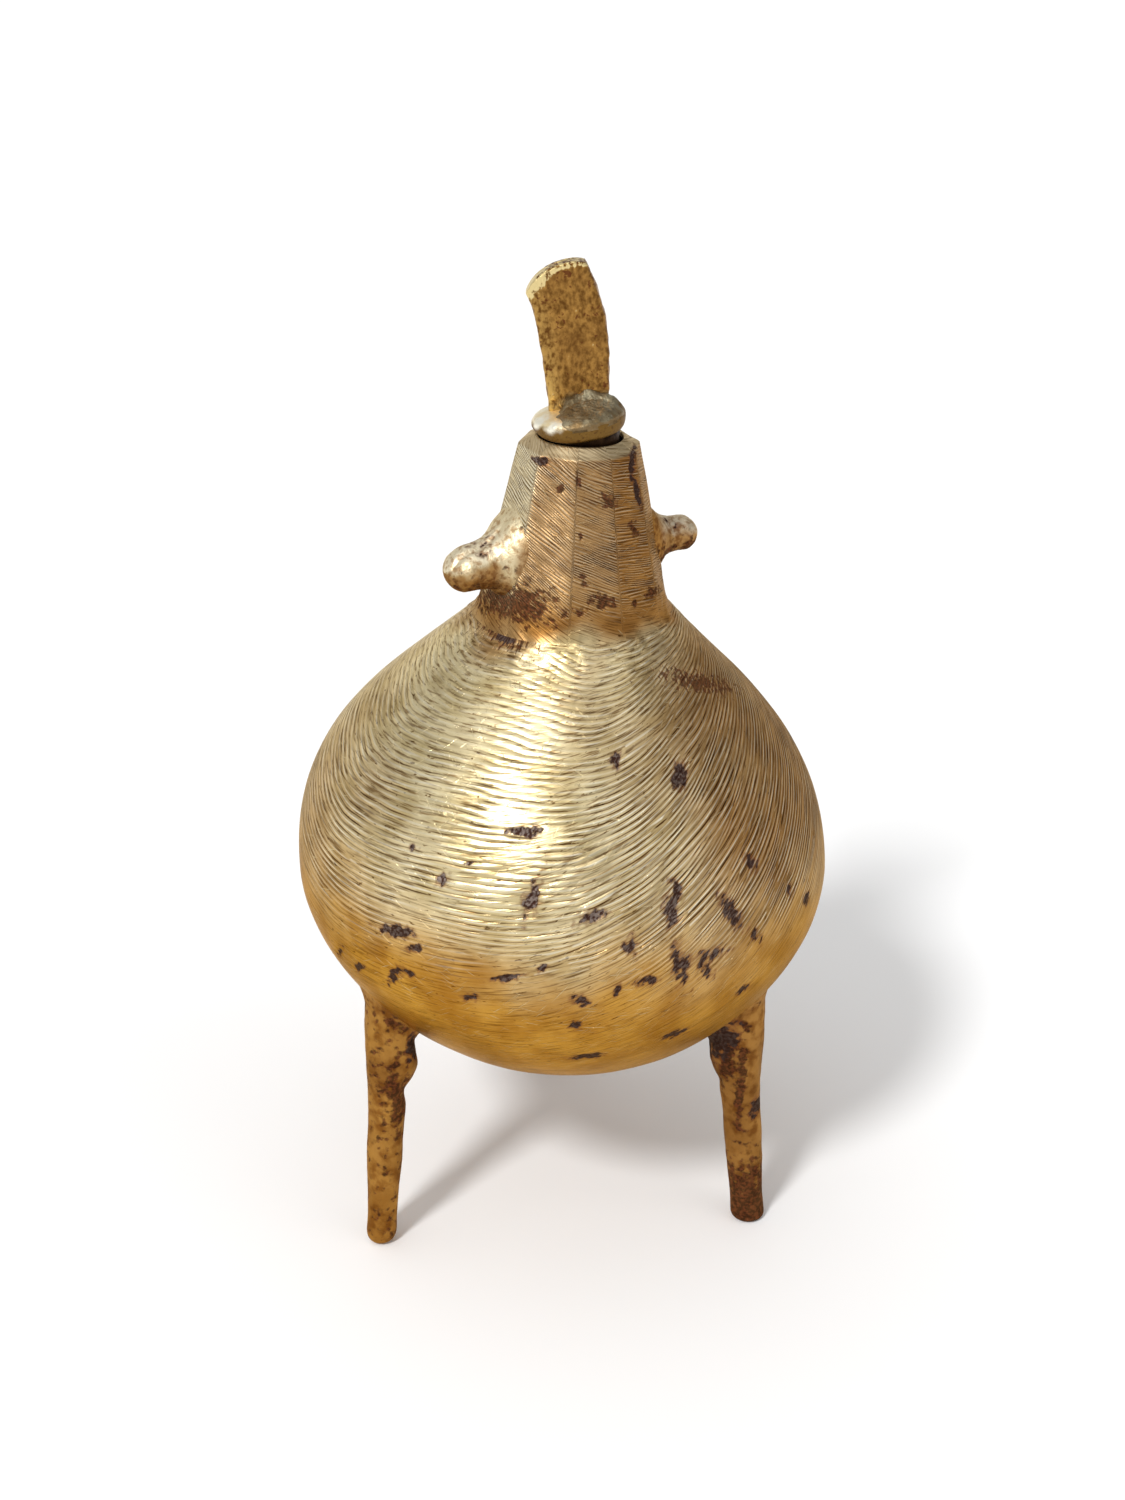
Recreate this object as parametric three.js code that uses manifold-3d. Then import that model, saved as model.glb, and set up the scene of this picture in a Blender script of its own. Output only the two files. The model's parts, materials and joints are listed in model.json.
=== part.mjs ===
// Three-legged brass urn: a hand-formed hollow bowl with a filed, leaning neck, two stub lugs,
// three cast legs and a loose stopper with a soldered handle. Millimetres, Z up.
// The origin is on the floor under the middle of the bowl, and -Y is the front.
import * as THREE from 'three';
import { mergeVertices } from 'three/addons/utils/BufferGeometryUtils.js';
import Module from 'manifold-3d';

const { degToRad, lerp, smoothstep } = THREE.MathUtils;

// Bowl
const GROUND_CLEARANCE = 32.25;
const LOWER_DEPTH = 45.25;
const UPPER_RISE = 53.25;
const BOWL_RADIUS = 53.4;
const UNDERSIDE_FLAT = 25;
const LOWER_FULLNESS = 21;
const UPPER_FULLNESS = 27.3;
const SHOULDER_RUN = 22;
const SHOULDER_SLOPE = degToRad(48);
const WALL = 3;
// How far the middle of the hand-formed bowl wanders to the side at each level
const UNDERSIDE_SHIFT = 1.5;
const SHOULDER_LEVEL = 32;
const SHOULDER_SHIFT = -0.6;
const SEAT_SHIFT = 1.9;

// Neck
const NECK_HEIGHT = 35;
const SEAT_RADIUS = 19.6;
const RIM_RADIUS = 11.4;
const RIM_FALL = 1.2;
const RIM_ROUND = 0.6;
const FLARE_RISE = 3.2;
const TAPER_RUN = 11;
const TAPER_ANGLE = degToRad(13);
const NECK_LEAN = degToRad(2.4);
const MOUTH_RADIUS = 8.7;
const MOUTH_DEPTH = 13;
// Directions that the filed flats face, and the height over which they run out into the flare
const FLAT_DIRECTIONS = [-152, -110, -75, -45, -8, 35, 80, 122, 165].map(degToRad);
const FLAT_SHARPNESS = 30;
const FLAT_DEPTH = 0.025;
const FLAT_RUNOUT = 9;

// Lugs: height above the seat, reach from the neck's middle, and how the finger swells and sags
const LUGS = [
  { name: 'lug_left', azimuth: -154, height: 12.9, reach: 27.4, tip: 4.3, root: 8.2, sag: 1.4 },
  { name: 'lug_right', azimuth: 26.5, height: 12.2, reach: 26.6, tip: 3.4, root: 7, sag: 0.6 },
];
const LUG_FLARE = 7;

// Legs: inset is from the bowl's widest to the leg's middle at the hip, splay is from there out to
// the foot, ankle, knee and hip are radii, and heel is the swelling on the inner side
const LEGS = [
  {
    name: 'leg_front_left',
    azimuth: -145.2, inset: 11.3, splay: 3.8,
    ankle: 2.9, knee: 3.4, hip: 4.9, heel: 0.8,
  },
  {
    name: 'leg_front_right',
    azimuth: -24.4, inset: 14.6, splay: 4.1,
    ankle: 3.2, knee: 3.7, hip: 5.6, heel: 0.5,
  },
  {
    name: 'leg_rear',
    azimuth: 95, inset: 13, splay: 4,
    ankle: 3.2, knee: 3.6, hip: 5.3, heel: 0.7,
  },
];
const KNEE_HEIGHT = 22;
const HIP_HEIGHT = 49;
const LEG_TOP = 61;
const HEEL_HEIGHT = 43;
const HEEL_SPREAD = 4.5;
const FOOT_FLAT = 1.7;
const FOOT_ROUND = 3.6;

// Stopper
const STOPPER_TILT = degToRad(7);
const STANDOFF = 1.1;
const DISC_RADIUS = 9.05;
const DISC_THICKNESS = 3.8;
const DISC_EDGE = 1.5;
const DISC_CROWN = 5;
const PLUG_RADIUS = 7.6;
const PLUG_DEPTH = 12;
const HANDLE_LENGTH = 26.8;
const HANDLE_SWAY = 1.2;
const HANDLE_BASE_LEAN = degToRad(6);
const HANDLE_END_LEAN = degToRad(20.6);
const HANDLE_BEND = 9;
const HANDLE_BASE_WIDTH = 11.4;
const HANDLE_END_WIDTH = 12.9;
const HANDLE_THICKNESS = 4.4;
const HANDLE_SETBACK = 2.4;
const HANDLE_CROWN = 1.6;
const HANDLE_CORNER = 1;
const SOLDER_WIDTH = 10.6;
const SOLDER_DEPTH = 9.6;
const SOLDER_HEIGHT = 5.6;
const SOLDER_FALL = 0.6;
const SOLDER_OFFSET = new THREE.Vector2(2.1, -3.8);

// Clearance at every seam and seat that isn't flat
const SEAM = 0.3;

// Facets round each kind of piece, and along each curve of its outline
const BOWL_SIDES = 64;
const BOWL_RINGS = 11;
const LINING_RINGS = 7;
const NECK_SIDES = 54;
const NECK_RINGS = 9;
const LUG_SIDES = 18;
const LUG_RINGS = 6;
const LEG_SIDES = 18;
const LEG_RINGS = 5;
const DISC_SIDES = 36;
const DISC_RINGS = 7;
const SOLDER_SIDES = 18;
const SOLDER_RINGS = 6;
const HANDLE_STEPS = 7;
const HANDLE_CROWN_STEPS = 4;
const HANDLE_CORNER_STEPS = 2;

// Vertices nearer than this are one
const WELD = 1e-4;

// Levels and centre line, worked out from the sizes above
const belly = GROUND_CLEARANCE + LOWER_DEPTH;
const seat = belly + UPPER_RISE;
const boreAtSeat = SEAT_RADIUS - WALL / Math.sin(SHOULDER_SLOPE);
const centreLine = new THREE.CubicInterpolant(
  [GROUND_CLEARANCE, belly, belly + SHOULDER_LEVEL, seat],
  [UNDERSIDE_SHIFT, 0, SHOULDER_SHIFT, SEAT_SHIFT],
  1,
);
const discMiddle = STANDOFF + DISC_THICKNESS / 2;
const discTop = STANDOFF + DISC_THICKNESS;

const wasm = await Module();
wasm.setup();

// A closed geometry as a solid that can be joined and cut
function toSolid(geometry) {
  const bare = geometry.clone();
  bare.deleteAttribute('normal');
  bare.deleteAttribute('uv');
  const merged = mergeVertices(bare, WELD);
  return new wasm.Manifold(new wasm.Mesh({
    numProp: 3,
    vertProperties: Float32Array.from(merged.attributes.position.array),
    triVerts: Uint32Array.from(merged.index.array),
  }));
}

function toGeometry(solid) {
  const { vertProperties, triVerts } = solid.getMesh();
  const geometry = new THREE.BufferGeometry();
  geometry.setAttribute('position', new THREE.BufferAttribute(vertProperties, 3));
  geometry.setIndex(new THREE.BufferAttribute(triVerts, 1));
  geometry.computeVertexNormals();
  return geometry;
}

// The first geometry less all the others
function cut(geometry, ...tools) {
  return toGeometry(tools.reduce((solid, tool) => solid.subtract(toSolid(tool)), toSolid(geometry)));
}

// An outline of (radius, height) points turned about the Z axis
function turn(outline, sides) {
  return new THREE.LatheGeometry(outline, sides).rotateX(Math.PI / 2);
}

// Moves each vertex of a turned geometry: shape gets the vertex and its place on the outline
function reshape(geometry, outline, shape) {
  const positions = geometry.attributes.position;
  const vertex = new THREE.Vector3();
  for (let i = 0; i < positions.count; i += 1) {
    vertex.fromBufferAttribute(positions, i);
    shape(vertex, i % outline.length);
    positions.setXYZ(i, vertex.x, vertex.y, vertex.z);
  }
  return geometry;
}

// The curve beside an outline that starts or ends on the axis, to its left for a positive distance
function beside(outline, distance) {
  return outline.map((point, i) => {
    const before = outline[Math.max(i - 1, 0)];
    const after = outline[Math.min(i + 1, outline.length - 1)];
    const along = after.clone().sub(before).normalize();
    const x = point.x === 0 ? 0 : point.x - along.y * distance;
    return new THREE.Vector2(x, point.y + along.x * distance);
  });
}

function piece(name, geometry, material) {
  const mesh = new THREE.Mesh(geometry, material);
  mesh.name = name;
  return mesh;
}

function metal(color, roughness) {
  return new THREE.MeshStandardMaterial({ color, roughness, metalness: 1 });
}

// Bowl

function bowlOutline(divisions) {
  const path = new THREE.Path();
  path.moveTo(0, GROUND_CLEARANCE);
  path.bezierCurveTo(
    UNDERSIDE_FLAT,
    GROUND_CLEARANCE,
    BOWL_RADIUS,
    belly - LOWER_FULLNESS,
    BOWL_RADIUS,
    belly,
  );
  path.bezierCurveTo(
    BOWL_RADIUS,
    belly + UPPER_FULLNESS,
    SEAT_RADIUS + SHOULDER_RUN * Math.cos(SHOULDER_SLOPE),
    seat - SHOULDER_RUN * Math.sin(SHOULDER_SLOPE),
    SEAT_RADIUS,
    seat,
  );
  return path.getPoints(divisions);
}

function wander(geometry, outline) {
  return reshape(geometry, outline, (vertex) => {
    vertex.x += centreLine.evaluate(vertex.z)[0];
  });
}

// An open-topped shell, whose top edge is the flat seat of the neck
function bowl() {
  const outside = bowlOutline(BOWL_RINGS);
  const inside = beside(bowlOutline(LINING_RINGS), WALL).reverse();
  const outline = [...outside, new THREE.Vector2(boreAtSeat, seat), ...inside];
  return wander(turn(outline, BOWL_SIDES), outline);
}

// The bowl's outside as a full body, grown by the seam, which trims the legs to it
function bowlTrimmer() {
  const outside = beside(bowlOutline(BOWL_RINGS), -SEAM);
  const outline = [...outside, new THREE.Vector2(0, seat)];
  return wander(turn(outline, BOWL_SIDES), outline);
}

// Neck

// How far out the filed flats stand in a direction, for a neck of unit radius
function flatted(angle) {
  const sum = FLAT_DIRECTIONS.reduce((total, direction) => (
    total + Math.max(0, Math.cos(angle - direction)) ** FLAT_SHARPNESS
  ), 0);
  return sum ** (-1 / FLAT_SHARPNESS) - FLAT_DEPTH;
}

function neckOutline() {
  const rimEdge = NECK_HEIGHT - RIM_FALL;
  const path = new THREE.Path();
  path.moveTo(SEAT_RADIUS, 0);
  path.bezierCurveTo(
    SEAT_RADIUS - FLARE_RISE * Math.cos(SHOULDER_SLOPE),
    FLARE_RISE * Math.sin(SHOULDER_SLOPE),
    RIM_RADIUS + TAPER_RUN * Math.sin(TAPER_ANGLE),
    rimEdge - RIM_ROUND - TAPER_RUN * Math.cos(TAPER_ANGLE),
    RIM_RADIUS,
    rimEdge - RIM_ROUND,
  );
  return [...path.getPoints(NECK_RINGS), new THREE.Vector2(RIM_RADIUS - RIM_ROUND, rimEdge)];
}

// Files the flats into the outside, and leans the neck with its rim square to the lean
function fileAndLean(geometry, outline, outside) {
  return reshape(geometry, outline, (vertex, place) => {
    if (outside.includes(outline[place])) {
      const runout = smoothstep(vertex.z, 0, FLAT_RUNOUT);
      const spread = 1 + runout * (flatted(Math.atan2(vertex.y, vertex.x)) - 1);
      vertex.x *= spread;
      vertex.y *= spread;
    }
    const across = vertex.x;
    vertex.x += vertex.z * Math.tan(NECK_LEAN);
    vertex.z -= across * Math.tan(NECK_LEAN) * (vertex.z / NECK_HEIGHT);
  });
}

function neck() {
  const outside = neckOutline();
  const outline = [
    ...outside,
    new THREE.Vector2(MOUTH_RADIUS, NECK_HEIGHT),
    new THREE.Vector2(MOUTH_RADIUS, NECK_HEIGHT - MOUTH_DEPTH),
    new THREE.Vector2(boreAtSeat, 0),
    outside[0],
  ];
  return fileAndLean(turn(outline, NECK_SIDES), outline, outside);
}

// The neck's outside as a full body, grown by the seam, which trims the lugs to it
function neckTrimmer() {
  const outside = beside(neckOutline(), -SEAM);
  const outline = [new THREE.Vector2(0, 0), ...outside, new THREE.Vector2(0, NECK_HEIGHT)];
  return fileAndLean(turn(outline, NECK_SIDES), outline, outside);
}

// Lugs

// A finger that starts inside the neck's wall, swells into it and sags towards its round tip
function lug({ azimuth, height, reach, tip, root, sag }, trimmer) {
  const path = new THREE.Path();
  path.moveTo(0, MOUTH_RADIUS);
  path.lineTo(root, MOUTH_RADIUS);
  path.bezierCurveTo(root, MOUTH_RADIUS + LUG_FLARE, tip, reach - tip - LUG_FLARE, tip, reach - tip);
  path.absellipse(0, reach - tip, tip, tip, 0, Math.PI / 2, false);
  const outline = path.getPoints(LUG_RINGS);
  const finger = turn(outline, LUG_SIDES).rotateY(Math.PI / 2);
  reshape(finger, outline, (vertex) => {
    vertex.z -= sag * ((vertex.x - MOUTH_RADIUS) / (reach - MOUTH_RADIUS)) ** 2;
  });
  finger.rotateZ(degToRad(azimuth));
  finger.translate(height * Math.tan(NECK_LEAN), 0, height);
  return cut(finger, trimmer);
}

// Legs

function leg({ azimuth, inset, splay, ankle, knee, hip, heel }, trimmer) {
  const calf = (FOOT_ROUND + KNEE_HEIGHT) / 2;
  const thigh = (KNEE_HEIGHT + HIP_HEIGHT) / 2;
  const path = new THREE.Path();
  path.moveTo(0, 0);
  path.lineTo(FOOT_FLAT, 0);
  path.quadraticCurveTo(ankle, 0, ankle, FOOT_ROUND);
  path.bezierCurveTo(ankle, calf, knee, calf, knee, KNEE_HEIGHT);
  path.bezierCurveTo(knee, thigh, hip, thigh, hip, HIP_HEIGHT);
  path.lineTo(hip, LEG_TOP);
  path.lineTo(0, LEG_TOP);
  const outline = path.getPoints(LEG_RINGS);
  const shank = turn(outline, LEG_SIDES);
  reshape(shank, outline, (vertex) => {
    const inward = Math.max(0, -vertex.x / hip);
    vertex.x -= heel * inward * Math.exp(-(((vertex.z - HEEL_HEIGHT) / HEEL_SPREAD) ** 2));
    vertex.x += BOWL_RADIUS - inset + lerp(splay, 0, vertex.z / HIP_HEIGHT);
  });
  shank.rotateZ(degToRad(azimuth));
  return cut(shank, trimmer);
}

// Stopper, in a frame of its own with its origin in the middle of the mouth

function disc(grow) {
  const path = new THREE.Path();
  path.moveTo(0, STANDOFF);
  path.bezierCurveTo(DISC_CROWN, STANDOFF, DISC_RADIUS, discMiddle - DISC_EDGE, DISC_RADIUS, discMiddle);
  path.bezierCurveTo(DISC_RADIUS, discMiddle + DISC_EDGE, DISC_CROWN, discTop, 0, discTop);
  return turn(beside(path.getPoints(DISC_RINGS), -grow), DISC_SIDES);
}

// A peg that tapers so that it stands askew in the mouth, with its tip beside the bore's wall
function plug() {
  const swing = PLUG_DEPTH * Math.tan(STOPPER_TILT + NECK_LEAN);
  const outline = [
    new THREE.Vector2(0, -PLUG_DEPTH),
    new THREE.Vector2(MOUTH_RADIUS - SEAM - swing, -PLUG_DEPTH),
    new THREE.Vector2(PLUG_RADIUS, 0),
    new THREE.Vector2(PLUG_RADIUS, discMiddle),
    new THREE.Vector2(0, discMiddle),
  ];
  return cut(turn(outline, DISC_SIDES), disc(SEAM));
}

// A flat bar that widens and bends to the left, standing on edge behind the disc's middle
function handle(grow) {
  const base = new THREE.Vector2(0, discMiddle);
  const end = new THREE.Vector2(-HANDLE_SWAY, discMiddle + HANDLE_LENGTH);
  const rising = new THREE.Vector2(Math.sin(HANDLE_BASE_LEAN), Math.cos(HANDLE_BASE_LEAN));
  const leaning = new THREE.Vector2(-Math.sin(HANDLE_END_LEAN), Math.cos(HANDLE_END_LEAN));
  const spine = new THREE.CubicBezierCurve(
    base,
    base.clone().addScaledVector(rising, HANDLE_BEND),
    end.clone().addScaledVector(leaning, -HANDLE_BEND),
    end,
  );
  const edge = (share, side) => {
    const along = spine.getTangent(share);
    const half = lerp(HANDLE_BASE_WIDTH, HANDLE_END_WIDTH, share) / 2 + grow;
    return spine.getPoint(share).add(new THREE.Vector2(along.y, -along.x).multiplyScalar(side * half));
  };
  const shares = Array.from({ length: HANDLE_STEPS + 1 }, (_, i) => i / HANDLE_STEPS);
  const right = shares.map((share) => edge(share, 1));
  const left = shares.map((share) => edge(share, -1)).reverse();
  const shape = new THREE.Shape(right);
  // The curve of the end rises half way to its control point
  const control = end.clone().addScaledVector(leaning, 2 * (HANDLE_CROWN + grow));
  shape.quadraticCurveTo(control.x, control.y, left[0].x, left[0].y);
  left.slice(1).forEach((point) => shape.lineTo(point.x, point.y));
  const bar = new THREE.ExtrudeGeometry(shape, {
    depth: HANDLE_THICKNESS - 2 * HANDLE_CORNER + 2 * grow,
    bevelThickness: HANDLE_CORNER,
    bevelSize: HANDLE_CORNER,
    bevelOffset: -HANDLE_CORNER,
    bevelSegments: HANDLE_CORNER_STEPS,
    curveSegments: HANDLE_CROWN_STEPS,
  });
  bar.rotateX(Math.PI / 2);
  return bar.translate(0, HANDLE_SETBACK + HANDLE_THICKNESS / 2 - HANDLE_CORNER + grow, 0);
}

// A run of solder on the disc that climbs the handle's face and falls away to the front
function solder() {
  const path = new THREE.Path();
  path.moveTo(0, discMiddle);
  path.lineTo(1, discMiddle);
  path.absellipse(0, discMiddle, 1, SOLDER_HEIGHT, 0, Math.PI / 2, false);
  const outline = path.getPoints(SOLDER_RINGS);
  const blob = turn(outline, SOLDER_SIDES);
  reshape(blob, outline, (vertex) => {
    const fall = lerp(1, SOLDER_FALL, (1 - vertex.y) / 2);
    vertex.z = discMiddle + (vertex.z - discMiddle) * fall;
    vertex.x = SOLDER_OFFSET.x + vertex.x * (SOLDER_WIDTH / 2);
    vertex.y = SOLDER_OFFSET.y + vertex.y * (SOLDER_DEPTH / 2);
  });
  return cut(blob, disc(SEAM), handle(SEAM));
}

// Assembly

const vessel = new THREE.Group();
vessel.add(piece('bowl', bowl(), metal(0xb9a271, 0.36)));

const legTrimmer = bowlTrimmer();
LEGS.forEach((size) => vessel.add(piece(size.name, leg(size, legTrimmer), metal(0xa17f42, 0.48))));

const collar = new THREE.Group();
collar.position.set(SEAT_SHIFT, 0, seat);
collar.add(piece('neck', neck(), metal(0xb0925a, 0.4)));

const lugTrimmer = neckTrimmer();
LUGS.forEach((size) => collar.add(piece(size.name, lug(size, lugTrimmer), metal(0xa98a5c, 0.55))));

const stopper = new THREE.Group();
stopper.position.set(NECK_HEIGHT * Math.tan(NECK_LEAN), 0, NECK_HEIGHT);
stopper.rotation.y = -STOPPER_TILT;
stopper.add(piece('stopper_disc', disc(0), metal(0xc9ad6b, 0.3)));
stopper.add(piece('stopper_plug', plug(), metal(0x6e5634, 0.6)));
stopper.add(piece('stopper_handle', cut(handle(0), disc(SEAM)), metal(0x94703a, 0.55)));
stopper.add(piece('stopper_solder', solder(), metal(0x85837a, 0.65)));
collar.add(stopper);
vessel.add(collar);

export default vessel;
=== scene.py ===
# Looks of the three-legged brass urn and its loose stopper.
# Shapes are worked out in millimetres, in the part's frame: X right, -Y front, Z up.
import json
from collections import namedtuple
from math import cos, pi, radians, sin, tan

import bpy
import numpy as np
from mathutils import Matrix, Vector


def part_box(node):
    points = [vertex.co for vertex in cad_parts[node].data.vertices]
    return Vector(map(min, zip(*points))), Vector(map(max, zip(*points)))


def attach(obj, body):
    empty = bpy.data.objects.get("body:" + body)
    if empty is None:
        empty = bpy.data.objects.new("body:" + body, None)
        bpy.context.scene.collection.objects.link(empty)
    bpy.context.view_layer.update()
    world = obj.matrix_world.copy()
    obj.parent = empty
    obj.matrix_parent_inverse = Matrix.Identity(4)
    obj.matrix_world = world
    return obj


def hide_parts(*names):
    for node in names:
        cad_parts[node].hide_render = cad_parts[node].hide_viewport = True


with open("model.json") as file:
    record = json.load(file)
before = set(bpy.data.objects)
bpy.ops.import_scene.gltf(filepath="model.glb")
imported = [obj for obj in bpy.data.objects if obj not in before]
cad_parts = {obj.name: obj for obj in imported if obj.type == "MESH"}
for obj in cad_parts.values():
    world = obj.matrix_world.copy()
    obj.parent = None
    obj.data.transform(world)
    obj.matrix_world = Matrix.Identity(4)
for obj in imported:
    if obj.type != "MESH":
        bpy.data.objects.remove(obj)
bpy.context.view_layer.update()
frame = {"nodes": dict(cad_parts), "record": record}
scene = bpy.context.scene
record = frame["record"]
body_of = {node: body for body, nodes in record["behaviour"]["bodies"].items() for node in nodes}

MM = 0.001

# The photo's camera
IMAGE_WIDTH = 1125
IMAGE_HEIGHT = 1500
FOCAL_PIXELS = 2300
CAMERA_ELEVATION = radians(25)
CAMERA_DISTANCE = 460
AIM_HEIGHT = 100
SENSOR_WIDTH = 36

# Bowl, as in the solids
BELLY_RISE = 45.25
UNDERSIDE_FLAT = 25
LOWER_FULLNESS = 21
UPPER_FULLNESS = 27.3
SHOULDER_RUN = 22
SHOULDER_SLOPE = radians(48)
SEAT_RADIUS = 19.6
WALL = 3

# Neck, as in the solids but for the fall of its rim, its mouth and its flats
SEAT_SHIFT = 1.9
NECK_HEIGHT = 35
RIM_RADIUS = 11.4
RIM_FALL = 1.7
RIM_ROUND = 0.6
FLARE_RISE = 3.2
TAPER_RUN = 11
TAPER_ANGLE = radians(13)
NECK_LEAN = tan(radians(2.4))
MOUTH_RADIUS = 8.0
MOUTH_DEPTH = 13
FLAT_DIRECTIONS = np.radians([-152, -110, -75, -45, -8, 35, 80, 122, 165])
FLAT_SHARPNESS = 46
FLAT_DEPTH = 0.022
FLAT_RUNOUT = 9

# Lugs and legs, as in the solids but for the lugs' tips, the left knee, the feet and the heels
# The lugs' undersides are darkened as painted shade
Lug = namedtuple("Lug", "name azimuth height reach tip root sag flatness crease grime brown")
LUGS = [
    Lug("lug_left", -154, 12.9, 27.4, 5.1, 8.2, 1.4, 0.22, 0.5, 0.7, 0.3),
    Lug("lug_right", 26.5, 12.2, 26.6, 3.8, 7, 0.6, 0.08, 0.1, 1.1, 0.9),
]
LUG_FLARE = 7
# The legs' last value darkens them towards the foot
Leg = namedtuple("Leg", "name azimuth inset splay ankle knee hip foot heel grime")
LEGS = [
    Leg("leg_front_left", -145.2, 11.3, 3.8, 2.9, 3.5, 4.9, 3.6, 1.1, 0),
    Leg("leg_front_right", -24.4, 14.6, 4.1, 3.2, 3.7, 5.6, 1.5, 0.5, 1),
    Leg("leg_rear", 95, 13, 4, 3.2, 3.6, 5.3, 2.6, 0.7, 0.3),
]
KNEE_HEIGHT = 22
HIP_HEIGHT = 49
HEEL_HEIGHT = 41
HEEL_SPREAD = 3.8

# Stopper, as in the solids but for the disc's crown, edge and sag, the plug's tip, the handle's crown
# and sides, and the solder
STOPPER_TILT = radians(7)
STANDOFF = 1.1
DISC_RADIUS = 9.05
DISC_THICKNESS = 3.8
DISC_EDGE = 1.9
DISC_CROWN = 6.2
DISC_SAG = 1.2
PLUG_RADIUS = 7.6
PLUG_TIP_RADIUS = 6.4
PLUG_DEPTH = 12
HANDLE_LENGTH = 26.8
HANDLE_SWAY = 1.2
HANDLE_BASE_LEAN = radians(6)
HANDLE_END_LEAN = radians(20.6)
HANDLE_BEND = 9
HANDLE_BASE_WIDTH = 11.4
HANDLE_END_WIDTH = 12.9
HANDLE_THICKNESS = 4.4
HANDLE_SETBACK = 2.4
HANDLE_CROWN = 1.9
HANDLE_FULLNESS = 0.5
SOLDER_SIZE = np.array([13.2, 13.6])
SOLDER_HEIGHT = 3.3
SOLDER_FILM = 0.5
SOLDER_MIDDLE = np.array([2.6, -3.1])

# Marks that the photo shows, as (pixel x, pixel y, width, height, turn in degrees)
MARK_SPREAD = 1.38
BOWL_PITS = [
    (532, 899, 12, 34, 20), (525, 831, 28, 9, 0), (412, 848, 7, 7, 0), (469, 863, 9, 5, 0),
    (441, 880, 8, 14, 30), (396, 931, 26, 11, 10), (413, 949, 12, 8, 0), (394, 975, 8, 18, 30),
    (409, 974, 9, 7, 0), (671, 913, 11, 26, -10), (676, 890, 9, 20, -25), (732, 913, 11, 34, -35),
    (630, 947, 12, 18, -10), (680, 965, 12, 36, -12), (705, 968, 10, 22, -40), (714, 953, 26, 7, -8),
    (591, 917, 24, 10, -20), (618, 992, 8, 11, -20), (641, 983, 10, 7, -15), (654, 980, 9, 7, -15),
    (580, 1001, 17, 8, 15), (543, 969, 9, 6, 0), (507, 978, 26, 6, -8), (752, 862, 8, 18, -30),
    (680, 776, 12, 22, 0), (616, 760, 8, 14, 0), (791, 890, 5, 14, -10), (807, 899, 6, 12, 0),
    (757, 935, 6, 18, -35), (675, 1035, 20, 5, -20), (587, 1057, 28, 4, -6), (471, 999, 14, 6, 10),
    (339, 953, 5, 14, 15), (359, 967, 8, 7, 0), (744, 990, 14, 5, -35), (575, 1026, 10, 7, 0),
    (506, 636, 20, 12, 0),
]
# The stains under the left lug and on the right shoulder are partly painted shadows of the lug and the
# neck, laid over real stains
BOWL_STAINS_AND_SHADOWS = [(510, 622, 64, 38, 15), (700, 682, 66, 18, 12), (604, 618, 50, 16, 0)]
NECK_PITS = [(633, 462, 5, 30, 4), (638, 493, 5, 26, -14), (540, 461, 14, 7, 10)]
# The widest neck stain, under the left lug, is partly the lug's painted shadow
NECK_STAINS_AND_SHADOWS = [
    (609, 501, 18, 12, 30), (634, 529, 8, 18, -20), (578, 480, 6, 15, -8), (561, 489, 8, 8, 20),
    (584, 580, 7, 14, -25), (603, 602, 22, 15, 20), (581, 613, 11, 8, 0), (653, 592, 15, 9, -25),
    (635, 602, 5, 8, 0), (581, 538, 4, 12, 0), (512, 602, 84, 34, 10),
]
LEG_PITS = [(413, 1049, 9, 22, 0), (722, 1040, 24, 34, 30), (757, 1105, 8, 18, 20)]
LEG_STAINS = [
    (397, 1100, 20, 74, -4), (741, 1085, 11, 100, 3), (392, 1022, 26, 10, 20), (728, 1062, 14, 40, 10),
]
HANDLE_SMEAR = [(588, 404, 66, 22, 0)]


# Curves and turned shapes

CURVE_POINTS = 400
BEND_POINTS = 60
TINY = 1e-6


def bezier(points, count=CURVE_POINTS):
    """Points along a cubic curve between its two ends."""
    start, first, second, end = np.array(points, float)
    t = np.linspace(0, 1, count)[:, None]
    return start * (1 - t) ** 3 + first * 3 * t * (1 - t) ** 2 + second * 3 * t**2 * (1 - t) + end * t**3


def spread(curve, count):
    """Points at even distances along a curve."""
    steps = np.linalg.norm(np.diff(curve, axis=0), axis=1)
    along = np.append(0, np.cumsum(steps))
    places = np.linspace(0, along[-1], count)
    return np.stack([np.interp(places, along, column) for column in curve.T], axis=1)


def unit(vectors):
    """The vectors, each brought to length 1."""
    return vectors / np.maximum(np.linalg.norm(vectors, axis=1), TINY)[:, None]


def outward(curve):
    """The normals to the right of a curve of (radius, height) points."""
    tangents = unit(np.gradient(curve, axis=0))
    return np.stack([tangents[:, 1], -tangents[:, 0]], axis=1)


def every(rows, around):
    """The row's and the column's value at each point of a grid, row by row."""
    return (grid.ravel() for grid in np.meshgrid(rows, around, indexing="ij"))


def ways(angle):
    """The level directions at angles about the Z axis."""
    return np.stack([np.cos(angle), np.sin(angle)], axis=1)


def swept(way, radius, height):
    """Points at a radius along each way and at a height."""
    return np.column_stack([way * radius[:, None], height])


def circle(sides, start=0):
    """The angles of points round a closed loop."""
    return np.linspace(start, start + 2 * pi, sides, endpoint=False)


def revolve(outline, sides, start=0):
    """Radius, height, angle and normal at each point of a turned outline."""
    radius, angle = every(outline[:, 0], circle(sides, start))
    height, out, up = (np.repeat(column, sides) for column in (outline[:, 1], *outward(outline).T))
    return radius, height, angle, swept(ways(angle), out, up)


def smooth(value, low, high):
    """Rises smoothly from 0 at low to 1 at high."""
    t = np.clip((value - low) / (high - low), 0, 1)
    return t * t * (3 - 2 * t)


def hump(value, middle, width):
    """1 at the middle, and nearly 0 at twice the width from it."""
    return np.exp(-(((value - middle) / width) ** 2))


# Noise

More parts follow.
